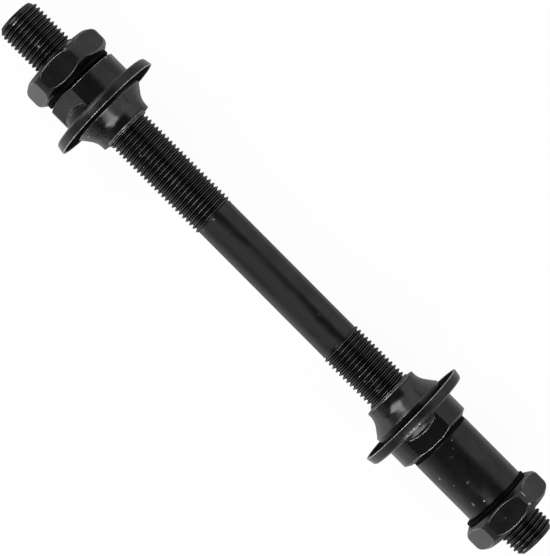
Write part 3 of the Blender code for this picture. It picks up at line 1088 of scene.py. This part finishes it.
# Camera: its sensor in millimetres, and the nearest thing that it shows in metres
SENSOR_WIDTH = 36.0
NEAREST_SEEN = 0.01

# Floor: its size and where its reflection changes, in metres, then its roughness and the share of
# it that the camera sees as plain white
FLOOR_SIZE = 12.0
FLOOR_BLEND = (-0.03, 0.03)
FLOOR_SHADE = (0.007, 0.020)
FLOOR_PAST_ENDS = (0.10, 0.20)
FLOOR_ROUGHNESS = 0.8
FLOOR_WHITE = 0.96

# Tent: leans in degrees from straight up, then shares of a direction along or across the axle
FAR_WALL_LEAN = (36.0, 42.0)
NEAR_WALL_LEAN = (-40.0, -62.0)
HORIZON_LEAN = (-72.0, -84.0)
END_WALLS_FROM = (0.50, 0.62)
FAR_SIDE_FROM = (-0.12, -0.02)
AMIDSHIPS_TO = (0.45, 0.75)
NEAR_WALL_PAST_ENDS = 0.1


def put_in_scene(name, data, place, turn):
    item = bpy.data.objects.new(name, data)
    bpy.context.scene.collection.objects.link(item)
    item.location = place
    item.rotation_euler = turn
    return item


def area_light(name, place, size, radiance):
    """A soft box of the given brightness that faces the middle of the axle."""
    data = bpy.data.lights.new(name, "AREA")
    data.shape = "RECTANGLE"
    data.size, data.size_y = size
    data.energy = WATTS_PER_AREA * size[0] * size[1] * radiance
    towards_axle = (-Vector(place)).to_track_quat("-Z", "Y").to_euler()
    put_in_scene(name, data, place, towards_axle)


def mix_shader(tree, factor, first, second):
    mix = tree.nodes.new("ShaderNodeMixShader")
    tree.links.new(factor, mix.inputs[0])
    tree.links.new(first, mix.inputs[1])
    tree.links.new(second, mix.inputs[2])
    return mix.outputs[0]


def leaning_wall(tree, lean, leans, brightness):
    """Brightness that grows from nothing to its full value between two leans."""
    start, full = leans
    return map_range(tree, lean, math.radians(start), math.radians(full), 0.0, brightness)


class HUBAXLE_OT_stage(Operator):
    """Set up the floor, the soft light and the camera"""
    bl_idname = "hubaxle.stage"
    bl_label = "Stage"

    def execute(self, context):
        stage = context.scene.hub_axle.stage
        scene = context.scene
        scene.view_settings.view_transform = "Standard"
        self.floor(stage)
        self.world(scene, stage)
        for name, x in (("left_box", -BOX_REACH), ("right_box", BOX_REACH)):
            area_light(name, (x, BOX_ACROSS, BOX_HEIGHT), BOX_SIZE, stage.end_boxes)
        camera = bpy.data.cameras.new("camera")
        camera.lens = stage.lens
        camera.sensor_width = SENSOR_WIDTH
        camera.clip_start = NEAREST_SEEN
        place = (stage.aim_x, stage.aim_y, stage.distance)
        scene.camera = put_in_scene("camera", camera, place, (0.0, 0.0, stage.turn))
        return {"FINISHED"}

    def floor(self, stage):
        """Pale paper that reads as white, brighter on the near side where its reflection shows."""
        deselect_all()
        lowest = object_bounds()[0].z
        bpy.ops.mesh.primitive_plane_add(size=FLOOR_SIZE, location=(0.0, 0.0, lowest))
        floor = bpy.context.object
        floor.name = "floor"
        material, tree, shader = new_material("pale floor")
        shader.inputs["Base Color"].default_value = (*stage.floor, 1.0)
        shader.inputs["Roughness"].default_value = FLOOR_ROUGHNESS
        place = tree.nodes.new("ShaderNodeNewGeometry")
        x, y, _ = separate(tree, place.outputs["Position"])
        sheen = tree.nodes.new("ShaderNodeEmission")
        near_to_far = map_range(tree, y, *FLOOR_BLEND, stage.floor_near, stage.floor_far)
        beside = math_node(tree, "ABSOLUTE", y)
        shade = map_range(tree, beside, *FLOOR_SHADE, stage.under, 1.0)
        along = math_node(tree, "ABSOLUTE", x)
        past_ends = map_range(tree, along, *FLOOR_PAST_ENDS, 1.0, stage.floor_ends)
        level_there = math_node(tree, "MULTIPLY", near_to_far, shade)
        level_there = math_node(tree, "MULTIPLY", level_there, past_ends)
        tree.links.new(level_there, sheen.inputs["Strength"])
        white = tree.nodes.new("ShaderNodeEmission")
        path = tree.nodes.new("ShaderNodeLightPath")
        direct = math_node(tree, "MAXIMUM", path.outputs["Is Camera Ray"],
                           path.outputs["Is Transmission Ray"])
        seen = math_node(tree, "MULTIPLY", direct, FLOOR_WHITE)
        surface = mix_shader(tree, path.outputs["Is Glossy Ray"], shader.outputs[0],
                             sheen.outputs[0])
        surface = mix_shader(tree, seen, surface, white.outputs[0])
        tree.links.new(surface, tree.nodes["Material Output"].inputs["Surface"])
        floor.data.materials.append(material)
        floor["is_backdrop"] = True

    def world(self, scene, stage):
        """A white tent that is open above: bright walls on both sides and a dark top."""
        world = bpy.data.worlds.new("light tent")
        scene.world = world
        world.use_nodes = True
        tree = world.node_tree
        background = tree.nodes["Background"]
        where = tree.nodes.new("ShaderNodeTexCoord")
        x, y, z = separate(tree, where.outputs["Generated"])
        lean = math_node(tree, "ARCTAN2", y, z)
        far_wall = leaning_wall(tree, lean, FAR_WALL_LEAN, stage.far_wall)
        near_wall = leaning_wall(tree, lean, NEAR_WALL_LEAN, stage.near_wall)
        horizon = leaning_wall(tree, lean, HORIZON_LEAN, stage.horizon)
        sideways = math_node(tree, "ABSOLUTE", x)
        past_end = map_range(tree, sideways, *END_WALLS_FROM, 0.0, stage.end_walls)
        far_side = map_range(tree, y, *FAR_SIDE_FROM)
        ends = math_node(tree, "MULTIPLY", past_end, far_side)
        far_wall = math_node(tree, "MAXIMUM", far_wall, ends)
        near_side = math_node(tree, "ADD", near_wall, horizon)
        amidships = map_range(tree, sideways, *AMIDSHIPS_TO, 1.0, NEAR_WALL_PAST_ENDS)
        near_side = math_node(tree, "MULTIPLY", near_side, amidships)
        walls = math_node(tree, "ADD", far_wall, near_side)
        tent = math_node(tree, "ADD", walls, stage.top)
        path = tree.nodes.new("ShaderNodeLightPath")
        strength = mix_value(tree, path.outputs["Is Camera Ray"], tent, 1.0)
        background.inputs["Color"].default_value = (1.0, 1.0, 1.0, 1.0)
        tree.links.new(strength, background.inputs["Strength"])


# Panel and registration

STEPS = (
    HUBAXLE_OT_rod,
    HUBAXLE_OT_lock_nuts,
    HUBAXLE_OT_rings,
    HUBAXLE_OT_cones,
    HUBAXLE_OT_dust_caps,
    HUBAXLE_OT_stage,
)


class HUBAXLE_PT_panel(Panel):
    """Lists the steps that build the pieces and the stage"""
    bl_label = "Hub axle"
    bl_idname = "HUBAXLE_PT_panel"
    bl_space_type = "VIEW_3D"
    bl_region_type = "UI"
    bl_category = "Hub axle"

    def draw(self, context):
        for step in STEPS:
            self.layout.operator(step.bl_idname)


CLASSES = (
    HubAxleRod,
    HubAxleNuts,
    HubAxleRings,
    HubAxleCones,
    HubAxleCaps,
    HubAxleFinish,
    HubAxleStage,
    HubAxleSettings,
    *STEPS,
    HUBAXLE_PT_panel,
)


def register():
    for item in CLASSES:
        bpy.utils.register_class(item)
    bpy.types.Scene.hub_axle = PointerProperty(type=HubAxleSettings)


def unregister():
    del bpy.types.Scene.hub_axle
    for item in reversed(CLASSES):
        bpy.utils.unregister_class(item)


def main():
    register()
    bpy.ops.hubaxle.rod()
    bpy.ops.hubaxle.lock_nuts()
    bpy.ops.hubaxle.rings()
    bpy.ops.hubaxle.cones()
    bpy.ops.hubaxle.dust_caps()
    bpy.ops.hubaxle.stage()


if __name__ == "__main__":
    main()
